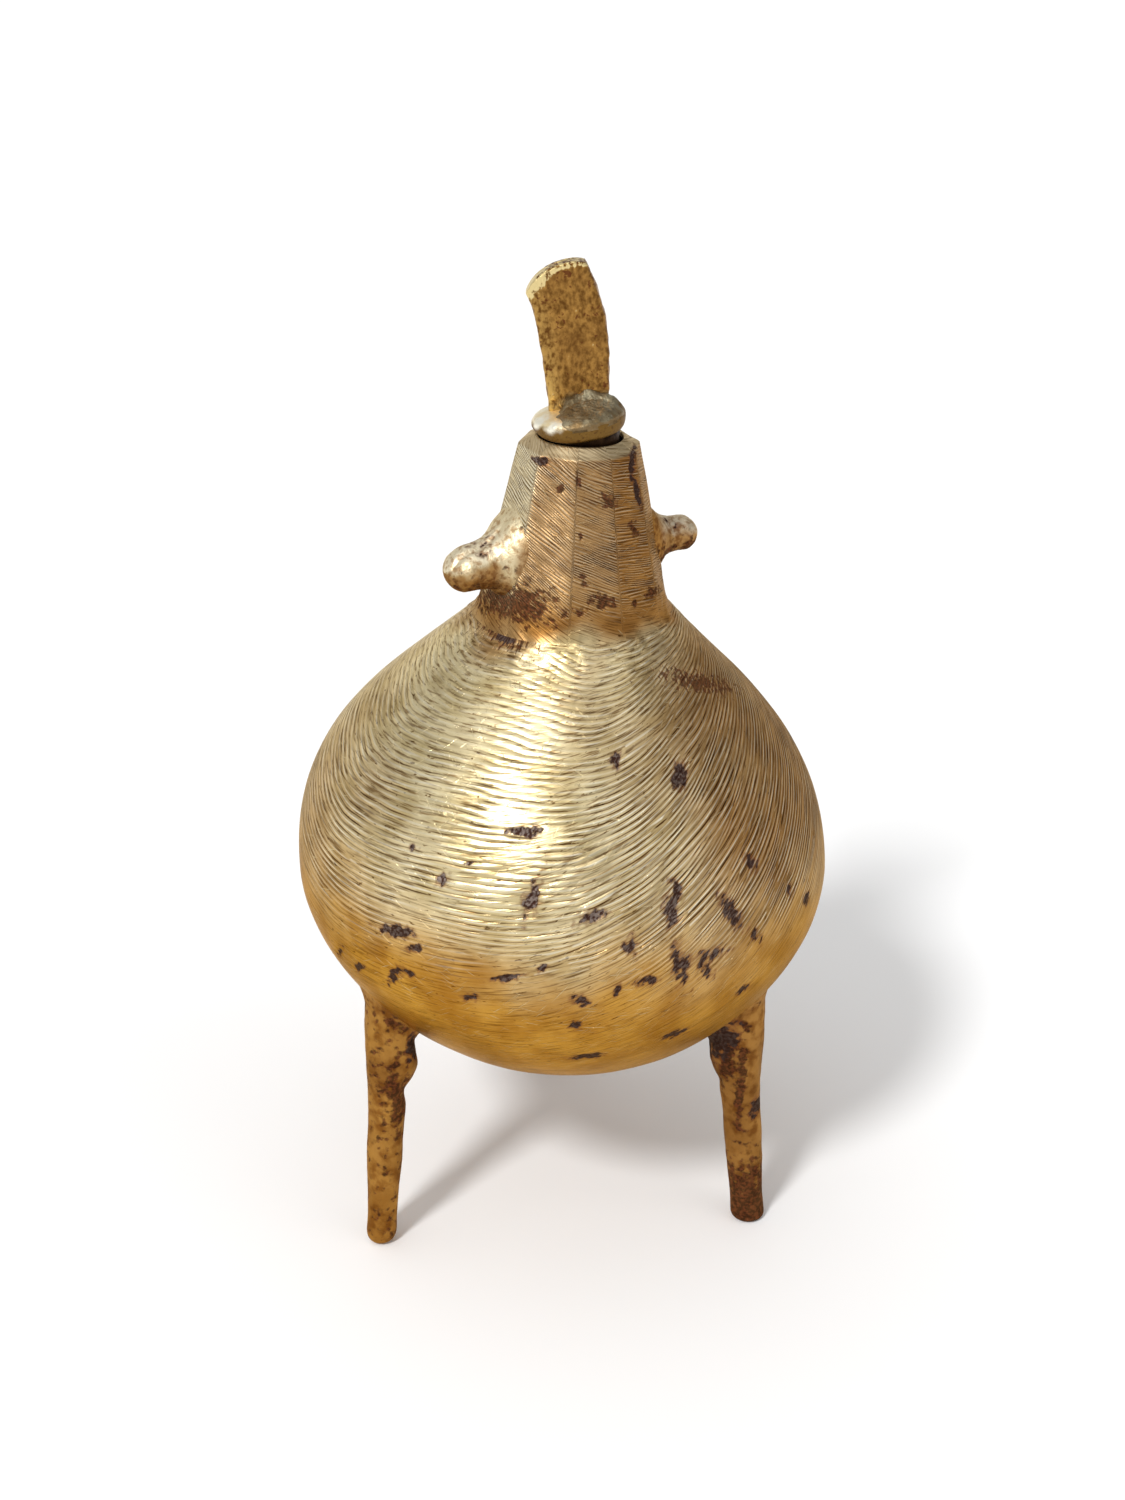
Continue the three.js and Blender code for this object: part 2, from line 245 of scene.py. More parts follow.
GRADIENTS = np.array(
    [np.insert((x, y), gap, 0) for gap in (2, 1, 0) for y in (1, -1) for x in (1, -1)]
)
NOISE_CELLS = 256


def noise(points, size, seed=0):
    """Smooth noise from about -1 to 1 at points, with features of that size."""
    table = np.random.RandomState(seed).permutation(NOISE_CELLS)
    places = points / size
    cells = np.floor(places).astype(int)
    local = places - cells
    eased = local**3 * (local * (local * 6 - 15) + 10)
    total = np.zeros(len(places))
    for corner in np.ndindex(2, 2, 2):
        x, y, z = ((cells + corner) % NOISE_CELLS).T
        picked = table[(table[(table[x] + y) % NOISE_CELLS] + z) % NOISE_CELLS]
        reach = ((local - corner) * GRADIENTS[picked % len(GRADIENTS)]).sum(1)
        total += reach * np.where(corner, eased, 1 - eased).prod(1)
    return total


def rough(points, size, octaves=3, seed=0):
    """Noise with finer and fainter noise on it."""
    sizes = [np.array(size) / 2**k for k in range(octaves)]
    return sum(noise(points, sizes[k], seed + k) / 2**k for k in range(octaves))


# Where the photo's camera sees a point

view_back = np.array([0, -cos(CAMERA_ELEVATION), sin(CAMERA_ELEVATION)])
view_up = np.array([0, sin(CAMERA_ELEVATION), cos(CAMERA_ELEVATION)])
camera_place = np.array([0, 0, AIM_HEIGHT]) + CAMERA_DISTANCE * view_back


def marked(points, facing, seen):
    """1 in the middle of the photo's marks, 0 at their edges. They fade out as facing nears 0."""
    sight = points - camera_place
    depth = -(sight @ view_back)
    across = IMAGE_WIDTH / 2 + FOCAL_PIXELS * sight[:, 0] / depth
    down = IMAGE_HEIGHT / 2 - FOCAL_PIXELS * (sight @ view_up) / depth
    field = np.full(len(points), -1.0)
    for x, y, width, height, turn in seen:
        cosine, sine = cos(radians(turn)), sin(radians(turn))
        right = (across - x) * cosine + (down - y) * sine
        below = (down - y) * cosine - (across - x) * sine
        distance = np.hypot(right / (width / 2), below / (height / 2)) / MARK_SPREAD
        field = np.maximum(field, 1 - distance)
    return np.where(facing > 0, field - 1 + smooth(facing, 0.1, 0.4), -1)


def facing_camera(points, middle):
    """Above 0 for points on the camera's side of the middle."""
    return (points[:, :2] - middle[:2]) @ (camera_place[:2] - middle[:2])


# Meshes


def add(name, data):
    """A new object in the scene."""
    thing = bpy.data.objects.new(name, data)
    scene.collection.objects.link(thing)
    return thing


def skin(name, node, points, around, materials, values, capped=True, inside_from=None, sharp=()):
    """A closed mesh over rows of points that go round a loop. It stands for a CAD node.

    values are named numbers or vectors for the points, 0 past the end of the list, but the middle
    of the first cap takes the first one. Without caps the last row meets the first one. Rows from
    inside_from on take the second material. sharp lists rows that are edges.
    """
    count = len(points) // around
    row, column = np.indices((count - capped, around))
    here = row * around
    beyond = (row + 1) % count * around
    after = (column + 1) % around
    corners = [here + column, here + after, beyond + after, beyond + column]
    faces = np.stack(corners, axis=-1).reshape(-1, 4).tolist()
    if capped:
        turn = np.arange(around)
        following = (turn + 1) % around
        first = np.full(around, len(points))
        top = (count - 1) * around
        faces += np.stack([first, following, turn], axis=1).tolist()
        faces += np.stack([first + 1, top + turn, top + following], axis=1).tolist()
        points = np.vstack([points, points[:around].mean(0), points[-around:].mean(0)])
    mesh = bpy.data.meshes.new(name)
    mesh.from_pydata((points * MM).tolist(), [], faces)
    for key, value in values.items():
        kind, field = ("FLOAT", "value") if value.ndim == 1 else ("FLOAT_VECTOR", "vector")
        whole = np.zeros((len(points),) + value.shape[1:])
        whole[: len(value)] = value
        if capped:
            whole[-2] = value[0]
        mesh.attributes.new(key, kind, "POINT").data.foreach_set(field, whole.ravel())
    mesh.shade_smooth()
    edge_ends = np.zeros(len(mesh.edges) * 2, int)
    mesh.edges.foreach_get("vertices", edge_ends)
    edge_rows = edge_ends.reshape(-1, 2) // around
    level = (edge_rows[:, 0] == edge_rows[:, 1]) & np.isin(edge_rows[:, 0], sharp)
    mesh.attributes.new("sharp_edge", "BOOLEAN", "EDGE").data.foreach_set("value", level)
    for material in materials:
        mesh.materials.append(material)
    if inside_from is not None:
        inside = row.ravel() >= inside_from
        if capped:
            inside = np.append(inside, np.repeat([False, True], around))
        mesh.polygons.foreach_set("material_index", inside.astype(int))
    mesh.update()
    piece = add(name, mesh)
    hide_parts(node)
    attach(piece, body_of[node])


# Shader nodes

WHITE = (255, 255, 255)


def screen(colour):
    """A screen's colour, 0 to 255, as Blender wants it. A field stays as it is."""
    if isinstance(colour, Field):
        return colour
    parts = np.array(colour) / 255
    linear = np.where(parts <= 0.04045, parts / 12.92, ((parts + 0.055) / 1.055) ** 2.4)
    return (*linear.tolist(), 1)


class Field:
    """A value at each point of a surface. Arithmetic on it adds nodes to the shader."""

    def __init__(self, shader, socket):
        self.shader = shader
        self.socket = socket

    def compute(self, operation, first, second=0.0):
        return self.shader.node("Math", 0, {0: first, 1: second}, operation=operation)

    def __add__(self, other):
        return self.compute("ADD", self, other)

    def __sub__(self, other):
        return self.compute("SUBTRACT", self, other)

    def __rsub__(self, other):
        return self.compute("SUBTRACT", other, self)

    def __mul__(self, other):
        return self.compute("MULTIPLY", self, other)

    def larger(self, other):
        return self.compute("MAXIMUM", self, other)

    def wave(self):
        """0 at whole numbers, 1 half way between them."""
        return self.compute("ABSOLUTE", self.compute("SINE", self * pi))

    def rise(self, low, high, start=0.0, end=1.0):
        """Smoothly from start, where the value is low, to end, where it is high."""
        inputs = {"Value": self, "From Min": low, "From Max": high, "To Min": start, "To Max": end}
        return self.shader.node("MapRange", "Result", inputs, interpolation_type="SMOOTHSTEP")

    def mix(self, first, second, blend="MIX"):
        """The first colour where this share is 0, the second one where it is 1."""
        inputs = {0: self, 6: screen(first), 7: screen(second)}
        return self.shader.node("Mix", 2, inputs, data_type="RGBA", blend_type=blend)

    def shade(self, base, tint):
        """The base colour, darkened by this share towards a tint of itself."""
        return self.mix(base, tint, "MULTIPLY")

    def stretch(self, *factors):
        return self.shader.node("VectorMath", 0, {0: self, 1: factors}, operation="MULTIPLY")

    def noise(self, size, detail=2.0, seed=0.0):
        """Noise from 0 to 1 with features of about that size."""
        inputs = {"Vector": self, "W": seed, "Scale": 1 / size, "Detail": detail}
        return self.shader.node("TexNoise", "Fac", inputs, noise_dimensions="4D")

    def threads(self, length, width, detail, seed=0.0):
        """Noise drawn out along the strokes into threads of that length and width."""
        return self.stretch(1 / length, 1 / length, 1 / width).noise(1.0, detail, seed)


class Shader:
    """The nodes of a material or a world."""

    def __init__(self, owner):
        self.owner = owner
        owner.use_nodes = True
        self.tree = owner.node_tree
        self.tree.nodes.clear()

    def node(self, kind, output, inputs, **settings):
        """Adds a node and gives back the field at its output, if one is named."""
        node = self.tree.nodes.new("ShaderNode" + kind)
        for key, value in settings.items():
            setattr(node, key, value)
        for key, value in inputs.items():
            if isinstance(value, Field):
                self.tree.links.new(value.socket, node.inputs[key])
            else:
                node.inputs[key].default_value = value
        return None if output is None else Field(self, node.outputs[output])

    def place(self):
        """Where a point is, in millimetres."""
        return self.node("TexCoord", "Object", {}).stretch(1 / MM, 1 / MM, 1 / MM)

    def given(self, name, output="Fac"):
        """What the mesh says under that name."""
        return self.node("Attribute", output, {}, attribute_name=name)

    def finish(self, base, roughness, *layers, metallic=1.0, grazing=WHITE):
        """The material. Each layer of relief has a height from 0 to 1 and a depth in millimetres."""
        normal = {}
        for height, depth in layers:
            inputs = {"Height": height, "Distance": depth * MM, **normal}
            normal = {"Normal": self.node("Bump", "Normal", inputs)}
        inputs = {"Base Color": base, "Roughness": roughness, "Metallic": metallic, **normal}
        inputs["Specular Tint"] = screen(grazing)
        self.node("OutputMaterial", None, {"Surface": self.node("BsdfPrincipled", "BSDF", inputs)})
        return self.owner


# Materials

PALE = (230, 214, 170)
PALE_DULL = (202, 182, 132)
GOLD = (196, 146, 62)
GOLD_DULL = (168, 116, 42)
BROWN = (166, 120, 62)
BROWN_DULL = (138, 95, 46)
# Rubbed bright metal, also laid on as a painted highlight
RUBBED_AND_HIGHLIGHT = (248, 242, 220)
GRAZING = (238, 226, 204)
GRAZING_GOLD = (234, 214, 180)
VALLEY = (132, 104, 66)
VALLEY_SHADE = (116, 88, 54)
PIT_AND_SHADE_BROWN = (66, 44, 36)
# Stain colours, also used for painted shadows and painted shade
PIT_AND_SHADE_GREY = (134, 120, 112)
STAIN_AND_SHADOW_RED = (118, 68, 44)
STAIN_AND_SHADOW_DARK = (64, 38, 28)
CAST_HOLLOW = (172, 134, 92)
CAST_SPECK = (110, 76, 50)
HANDLE_DARK = (100, 66, 28)
HANDLE_TAN = (170, 126, 64)
HANDLE_BROWN = (116, 78, 38)
HANDLE_YELLOW = (206, 168, 96)
HANDLE_SPECK = (92, 46, 26)
HANDLE_RUBBED = (226, 204, 146)
HANDLE_SMEARED = (128, 116, 88)
# Near white, a painted highlight on the disc's top
DISC_HIGHLIGHT_WHITE = (255, 250, 232)
DISC_CREAM = (240, 222, 180)
DISC_BROWN = (122, 92, 46)
DISC_SPECK = (84, 54, 32)
SOLDER_LIGHT = (146, 136, 110)
SOLDER_DARK = (108, 94, 68)
SOLDER_PIT = (62, 48, 34)
SOLDER_BRIGHT = (188, 182, 160)
SOLDER_FLUX = (128, 98, 56)
TARNISH = (66, 45, 28)
TARNISH_DARK = (34, 23, 16)
SCRATCH_SLANTS = [(32, 21.0), (-24, 22.0)]


def new_material(name):
    shader = Shader(bpy.data.materials.new(name))
    return shader, shader.place()


def vessel_colour(place):
    """Brass that the mesh says is pale, or warm, brown or bright. Warm is partly a painted reflection,
    brown is partly painted shade, and bright is partly rubbed wear and partly a painted highlight.
    """
    patch = place.noise(8.0, 4.0, 2.0).rise(0.32, 0.66)
    base = patch.mix(PALE_DULL, PALE)
    for name, dull, clean in [("warm", GOLD_DULL, GOLD), ("brown", BROWN_DULL, BROWN)]:
        base = place.shader.given(name).mix(base, patch.mix(dull, clean))
    return place.shader.given("bright").mix(base, RUBBED_AND_HIGHLIGHT)


def marks(place, base):
    """The base colour with stains and pits, the share that is marked, and the marks' relief. The stain and
    pit values also carry painted shadows and painted shade, which take the same colours.
    """
    pit, stain, warm, brown = map(place.shader.given, ("pit", "stain", "warm", "brown"))
    ragged = place.noise(1.6, 5.0, 3.0) - 0.5
    grain = place.noise(0.7, 3.0, 7.0)
    grey = grain.rise(0.42, 0.62)
    pit += ragged * 2.5
    base = pit.rise(-0.3, 0.2, 0.0, 0.55).mix(base, STAIN_AND_SHADOW_RED)
    pit = pit.rise(0.1, 0.35)
    stain = (stain + ragged * 3.4).rise(0.1, 0.6)
    base = (stain * 0.82).mix(base, grey.mix(STAIN_AND_SHADOW_DARK, STAIN_AND_SHADOW_RED))
    grey *= (1.0 - warm.larger(brown)) * 0.8 + 0.2
    base = pit.mix(base, grey.mix(PIT_AND_SHADE_BROWN, PIT_AND_SHADE_GREY))
    marked_share = stain.larger(pit)
    return base, marked_share, marked_share * (grain - 1.0)


def scratches(along):
    """Thin scratches that cross the strokes at two slants, from 0 to 1."""
    found = []
    for slant, seed in SCRATCH_SLANTS:
        inputs = {"Vector": along, "Angle": radians(slant)}
        turned = along.shader.node("VectorRotate", "Vector", inputs, rotation_type="Y_AXIS")
        found.append(turned.threads(5, 0.22, 1.0, seed).rise(0.66, 0.74))
    return found[0].larger(found[1])


def filed_brass():
    """Hand-filed brass. The mesh gives the direction, number and depth of the strokes."""
    shader, place = new_material("filed_brass")
    along = shader.given("along", "Vector")
    cut, warm, brown = map(shader.given, ("cut", "warm", "brown"))
    first, second = (shader.given(name).wave() for name in ("number", "other"))
    ridge = first + (second - first) * shader.given("bundle")
    fine = along.threads(6, 0.24, 3.0)
    streak = along.threads(12, 1.3, 3.0, 5.0)
    dash = along.threads(1.8, 0.4, 2.0, 11.0)
    scratch = scratches(along)
    worn = 1.0 - warm * 0.3
    base = (streak.rise(0.5, 0.75, 0.0, 0.35) * worn).shade(vessel_colour(place), VALLEY)
    base = (fine.rise(0.5, 0.66, 0.0, 0.8) * worn).shade(base, VALLEY)
    base = dash.rise(0.64, 0.72, 0.0, 0.9).shade(base, VALLEY)
    base = (cut * ridge.rise(0.55, 0.05)).shade(base, VALLEY_SHADE)
    crest = cut * ridge.rise(0.85, 1.0, 0.0, 0.6) * brown.larger(warm).rise(1.0, 0.2, 0.5, 1.0)
    base = (scratch * 0.35).mix(crest.mix(base, RUBBED_AND_HIGHLIGHT), PALE)
    base, marked_share, relief = marks(along.stretch(1.0, 1.0, 1.7), base)
    roughness = marked_share * 0.28 + brown * 0.14 + fine.rise(0.2, 0.8, 0.25, 0.4)
    layers = [(ridge * cut, 0.15), (fine, 0.08), (scratch, -0.045), (relief, 0.25)]
    return shader.finish(base, roughness, *layers, grazing=warm.mix(GRAZING, GRAZING_GOLD))


def cast_brass(name, lump_size, relief, speckled):
    """Brass with its cast skin on, darker in the hollows."""
    shader, place = new_material(name)
    lumps = place.noise(lump_size, 4.0)
    speck = place.noise(lump_size * 0.6, 4.0, 9.0)
    base = lumps.rise(0.56, 0.34, 0.0, 0.7).shade(vessel_colour(place), CAST_HOLLOW)
    base = speck.rise(0.6, 0.7, 0.0, speckled).shade(base, CAST_SPECK)
    base, marked_share, hollow = marks(place, base)
    roughness = marked_share * 0.22 + lumps.rise(0.3, 0.7, 0.56, 0.45)
    return shader.finish(base, roughness, (lumps, relief), (hollow, 0.25), grazing=GRAZING)


def handle_brass():
    """The handle's brown-gold skin, with red-brown specks and a rubbed end."""
    shader, place = new_material("handle_brass")
    grain = place.stretch(1.0, 1.0, 0.7).noise(0.8, 6.0)
    cloud = place.noise(6.0, 3.0, 4.0)
    base = grain.rise(0.28, 0.7).mix(HANDLE_DARK, HANDLE_TAN)
    base = cloud.rise(0.4, 0.7, 0.0, 0.45).mix(base, HANDLE_BROWN)
    base = (shader.given("yellow") * grain.rise(0.35, 0.55)).mix(base, HANDLE_YELLOW)
    speck = shader.given("stain") * 0.2 + place.noise(0.7, 4.0, 9.0)
    base = (speck.rise(0.62, 0.7) * 0.8).mix(base, HANDLE_SPECK)
    bright = shader.given("bright") + (grain - 0.5) * 2.2
    base = bright.rise(0.4, 0.62).mix(base, HANDLE_RUBBED)
    smear = shader.given("smear") + (cloud - 0.5) * 1.6
    base = smear.rise(0.0, 0.5, 0.0, 0.8).mix(base, HANDLE_SMEARED)
    return shader.finish(base, grain.rise(0.3, 0.7, 0.46, 0.34), (grain, 0.34))


def rubbed_brass():
    """The disc: rubbed bright on top, with near-white patches there as a painted highlight, and brown and
    pitted round its edge.
    """
    shader, place = new_material("rubbed_brass")
    cloud = place.noise(3.0, 4.0)
    grain = place.noise(0.6, 3.0, 2.0)
    edge = (cloud * 1.2 + shader.given("edge")).rise(1.0, 1.5)
    base = edge.mix(cloud.rise(0.4, 0.65).mix(DISC_HIGHLIGHT_WHITE, DISC_CREAM), DISC_BROWN)
    base = grain.rise(0.56, 0.68, 0.0, edge * 0.7 + 0.1).mix(base, DISC_SPECK)
    roughness = edge * 0.1 + cloud.rise(0.3, 0.7, 0.36, 0.48)
    return shader.finish(base, roughness, (grain, 0.14))


def soft_solder():
    """Grey solder with a greenish cast, pitted, with brown flux at its rim."""
    shader, place = new_material("soft_solder")
    grain = place.noise(0.8, 4.0)
    cloud = place.noise(3.0, 3.0, 3.0)
    base = cloud.rise(0.35, 0.65).mix(SOLDER_LIGHT, SOLDER_DARK)
    base = grain.rise(0.58, 0.7, 0.0, 0.8).mix(base, SOLDER_PIT)
    base = grain.rise(0.42, 0.3, 0.0, 0.4).mix(base, SOLDER_BRIGHT)
    rim = (cloud * 0.8 + shader.given("edge")).rise(1.15, 1.4, 0.0, 0.6)
    base = rim.mix(base, SOLDER_FLUX)
    return shader.finish(base, grain.rise(0.3, 0.7, 0.4, 0.58), (grain, 0.2), metallic=0.85)


def tarnish():
    """Unworn metal inside the mouth, the bowl and on the plug."""
    shader, place = new_material("tarnished_brass")
    cloud = place.noise(3.5, 4.0)
    base = cloud.rise(0.35, 0.65).mix(TARNISH, TARNISH_DARK)
    return shader.finish(base, cloud.rise(0.3, 0.7, 0.5, 0.7), (cloud, 0.4))


# Bowl

BOWL_SIDES = 200
BOWL_ROWS = 520
LINING_ROWS = 26
PROFILE_POINTS = 2000
POLE_RADIUS = 0.5
STROKES_FROM = 52
CLIMB = 66
CLIMB_START = radians(-25)
CLIMB_END = radians(130)
FALL_END = radians(310)
STROKE_PITCH = 1.15
STROKE_DEPTH = 0.09
OTHER_PITCH = 0.78
OTHER_SWING = 1.7
UNDULATION = 0.26
PIT_DEPTH = 0.3

bowl_low, bowl_high = (np.array(corner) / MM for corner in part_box("bowl"))
ground_clearance = bowl_low[2]
seat = bowl_high[2]
bowl_radius = (bowl_high[1] - bowl_low[1]) / 2
belly = ground_clearance + BELLY_RISE
bore_at_seat = SEAT_RADIUS - WALL / sin(SHOULDER_SLOPE)
shoulder = (
    SEAT_RADIUS + SHOULDER_RUN * cos(SHOULDER_SLOPE),
    seat - SHOULDER_RUN * sin(SHOULDER_SLOPE),
)

lower_curve = bezier(
    [(0, ground_clearance), (UNDERSIDE_FLAT, ground_clearance),
     (bowl_radius, belly - LOWER_FULLNESS), (bowl_radius, belly)]
)
upper_curve = bezier(
    [(bowl_radius, belly), (bowl_radius, belly + UPPER_FULLNESS), shoulder, (SEAT_RADIUS, seat)]
)
bowl_curve = np.vstack([lower_curve, upper_curve[1:]])
bowl_curve = spread(bowl_curve[bowl_curve[:, 0] >= POLE_RADIUS], PROFILE_POINTS)
bowl_length = np.linalg.norm(np.diff(bowl_curve, axis=0), axis=1).sum()
bowl_normals = outward(bowl_curve)


def solid_centre_line():
    """The sideways wander of the bowl's middle with height, as in its solid."""
    solid = np.array([vertex.co for vertex in frame["nodes"]["bowl"].data.vertices]) / MM
    levels = np.unique(solid[:, 2].round(2))
    rings = [solid[abs(solid[:, 2] - level) < 0.02, 0] for level in levels]
    middles = [(ring.max() + ring.min()) / 2 for ring in rings]
    return np.polynomial.Polynomial.fit(levels, middles, 6)


centre_line = solid_centre_line()


def climbed(row, angle):
    """Where along the profile a row of strokes has got to at an angle. Its ends stay in place."""
    past = (angle - CLIMB_START) % (2 * pi)
    rising = CLIMB_END - CLIMB_START
    falling = FALL_END - CLIMB_END
    up = np.cos(pi * np.clip(past / rising, 0, 1))
    down = np.cos(pi * np.clip((past - rising) / falling, 0, 1))
    climb = CLIMB / 2 * np.where(past < rising, -up, down)
    half = pi / (2 * bowl_length)
    return np.arctan(np.tan(row * half) * np.exp(2 * half * climb)) / half


def strokes(along, number, other, bundle, cut):
    """Two sets of strokes and the share of the second, and how deep they cut."""
    first, second = (abs(np.sin(pi * count)) for count in (number, other))
    values = {"along": along, "number": number, "other": other, "bundle": bundle, "cut": cut}
    return values, cut * (1 - (first + (second - first) * bundle))


def tones(points):
    """How warm and how brown the vessel's metal is, from 0 to 1. The warm gold low down is partly the
    unfiled metal's tone and partly a painted reflection of warm ground, and the brown on the right is
    partly tarnish and partly painted shade.
    """
    drift = noise(points, 18, 91)
    level = points[:, 2]
    filed_deeper = 5 * smooth(points[:, 0], -34, -4)
    # Warm gold low down: partly the unfiled metal's own tone, partly a painted reflection of warm ground
    warm = 1 - smooth(level + 8 * drift + 4 * noise(points, 6, 93) + filed_deeper, 72, 99)
    neck_side = smooth(level + 6 * noise(points, 9, 92), seat - 6, seat + 3)
    # Browner on the right: partly brown tarnish, partly painted shade
    right_side = 0.95 * smooth(points[:, 0] + 12 * drift, -8, 44)
    left_side = 0.68 * smooth(-points[:, 0] + 12 * drift, 26, 52)
    brown = np.maximum(neck_side, np.maximum(right_side, left_side))
    return {"warm": warm, "brown": brown * (1 - 0.7 * warm)}


def scattered(field, points, count, sizes, seed, allowed):
    """The field of marks, with random ones added where the photo shows none."""
    random = np.random.RandomState(seed)
    for index in random.choice(np.flatnonzero(allowed), count, replace=False):
        size = random.uniform(*sizes)
        squash = np.array([1, 1, random.uniform(0.5, 1.8)])
        distance = np.linalg.norm((points - points[index]) * squash, axis=1) / size
        field = np.maximum(field, 1 - distance)
    return field


def seam_lumps(points):
    """Rough metal where the neck was joined to the bowl."""
    return 0.55 * hump(points[:, 2], seat, 5) * (0.5 + 0.5 * rough(points, 3.2, 3, 21))


def bowl_rows():
    """Where the rows of points lie along the profile: closer together where strokes are deep."""
    places = np.linspace(0, bowl_length, 2 * PROFILE_POINTS)
    weight = np.cumsum(1 + 2 * smooth(places, STROKES_FROM - 10, STROKES_FROM + 5))
    return np.interp(np.linspace(weight[0], weight[-1], BOWL_ROWS), weight, places)


def bowl_lining(angles):
    """Rows of points on the bowl's inner face, from the seat down."""
    lining = spread(bowl_curve - bowl_normals * WALL, LINING_ROWS)[::-1]
    lining[0] = (bore_at_seat, seat)
    radius, angle = every(lining[:, 0].clip(POLE_RADIUS), angles)
    height = np.repeat(lining[:, 1], len(angles))
    points = swept(ways(angle - pi / 2), radius, height)
    points[:, 0] += centre_line(height)
    return points


def make_bowl(filed, dark):
    """The bowl's filed outside and dark lining. Its angles count from the front."""
    angles = circle(BOWL_SIDES, -pi)
    row, angle = every(bowl_rows(), angles)
    travel = climbed(row, angle)
    profile = np.linspace(0, bowl_length, PROFILE_POINTS)
    columns = (*bowl_curve.T, *bowl_normals.T)
    radius, height, out, up = (np.interp(travel, profile, column) for column in columns)
    turned = ways(angle - pi / 2)
    normals = swept(turned, out, up)
    points = swept(turned, radius, height)
    points[:, 0] += centre_line(height)

    along = np.column_stack([turned * bowl_radius, row])
    wavy = row + 0.4 * noise(along, (20, 20, 5), 1) + 0.14 * noise(along, (7, 7, 1.6), 2)
    number = wavy / STROKE_PITCH
    swung = OTHER_SWING * (np.sin(2 * angle + 0.7) + 0.5 * np.sin(5 * angle))
    other = (wavy + swung) / OTHER_PITCH
    stretch = np.sin(pi * travel / bowl_length) / np.sin(pi * row / bowl_length).clip(TINY)
    bundle = smooth(noise(along, (13, 13, 4.5), 4) + 1.2 * (stretch - 1.25), -0.06, 0.06)
    broken = np.clip(0.68 + 1.2 * noise(along, (7, 7, 1.1), 3), 0.08, 1.2)
    band = smooth(height + 5 * noise(points, 11, 7), 75, 87) * (1 - 0.45 * smooth(height, 104, 126))
    coarse = 0.8 + 0.6 * smooth(angle, -0.2, 0.7) * (1 - smooth(angle, 1.6, 2.4))
    cut = broken * coarse * (0.06 + 0.94 * band)
    values, filed_depth = strokes(along, number, other, bundle, cut)

    front = normals @ view_back
    behind = points[:, 1] > 8
    pit = marked(points, front, BOWL_PITS)
    pit = scattered(pit, points, 44, (0.7, 2.6), 5, behind & (height < 104))
    stain = marked(points, front, BOWL_STAINS_AND_SHADOWS)
    stain = scattered(stain, points, 6, (2, 6), 6, behind & (height > 118))
    ragged = pit + 0.5 * rough(points, 1.8, 2, 9)

    depth = STROKE_DEPTH * filed_depth
    depth += UNDULATION * (0.5 + 0.5 * rough(points, 16, 2, 8)).clip(0)
    depth += PIT_DEPTH * smooth(ragged, -0.1, 0.8)
    depth = depth * smooth(seat - height, 0, 5) + seam_lumps(points)
    points -= normals * depth[:, None]

    points = np.vstack([points, bowl_lining(angles)])
    values |= {"pit": pit, "stain": stain, **tones(points), "bright": np.zeros(len(points))}
    rings = (BOWL_ROWS - 1, BOWL_ROWS)
    brass = [filed, dark]
    skin("bowl_filed", "bowl", points, BOWL_SIDES, brass, values, inside_from=BOWL_ROWS, sharp=rings)


# Neck

NECK_SIDES = 240
NECK_ROWS = 150
BORE_ROWS = 14
NECK_STROKE_PITCH = 0.6
NECK_OTHER_PITCH = 0.42
NECK_STROKE_DEPTH = 0.05
NECK_PIT_DEPTH = 0.24
STROKE_SLANTS = np.radians([-17, -28, -20, -6, -12, -35, 10, 30, 45])
# How brown each flat is, as painted light and shade: low on the lit flat at -152 degrees, high on the flats
# in shade
FLAT_SHADES = np.array([0.1, 0.85, 0.9, 1.0, 1.0, 0.8, 0.9, 0.6, 0.7])
FLAT_CUTS = np.array([1.6, 0.9, 1.0, 0.9, 0.8, 0.8, 0.8, 0.8, 0.8])
RIM_BROWN = 0.45
RIM_BRIGHT = 0.15

rim_edge = NECK_HEIGHT - RIM_FALL
flare = (SEAT_RADIUS - FLARE_RISE * cos(SHOULDER_SLOPE), FLARE_RISE * sin(SHOULDER_SLOPE))
taper = (
    RIM_RADIUS + TAPER_RUN * sin(TAPER_ANGLE),
    rim_edge - RIM_ROUND - TAPER_RUN * cos(TAPER_ANGLE),
)
neck_curve = bezier([(SEAT_RADIUS, 0), flare, taper, (RIM_RADIUS, rim_edge - RIM_ROUND)])
neck_curve = spread(neck_curve, CURVE_POINTS)


def neck_spread(angle, height):
    """How far the filed flats bring the neck's outside in, as a share of its radius."""
    sharp = np.maximum(0, np.cos(angle[:, None] - FLAT_DIRECTIONS)) ** FLAT_SHARPNESS
    flats = sharp.sum(1) ** (-1 / FLAT_SHARPNESS) - FLAT_DEPTH
    return 1 + smooth(height, 0, FLAT_RUNOUT) * (flats - 1)


def neck_radius(angle, height):
    """The radius of the neck's outside at an angle and a height above the seat."""
    level = np.clip(height, 0, rim_edge)
    return np.interp(level, neck_curve[:, 1], neck_curve[:, 0]) * neck_spread(angle, level)


def lean(points):
    """Moves points from an upright neck to the leaning one on the bowl."""
    x, y, z = points.T
    down = x * NECK_LEAN * (z / NECK_HEIGHT)
    return np.column_stack([x + z * NECK_LEAN + SEAT_SHIFT, y, z - down + seat])


def flat_shading(angle, height):
    """How brown and how bright the neck is at an angle and a height above the seat. This is painted light
    and shade: the lit left flat is pale with a painted highlight, the flats in shade are browner, and all
    are browner towards the seat.
    """
    weights = np.maximum(np.cos(angle[:, None] - FLAT_DIRECTIONS), 0) ** 60
    brown = (weights * FLAT_SHADES).sum(1) / weights.sum(1)
    brown += (1 - brown) * (1 - smooth(height, 2, 9))
    return brown, 0.3 * (1 - brown) * smooth(height, 6, 14)


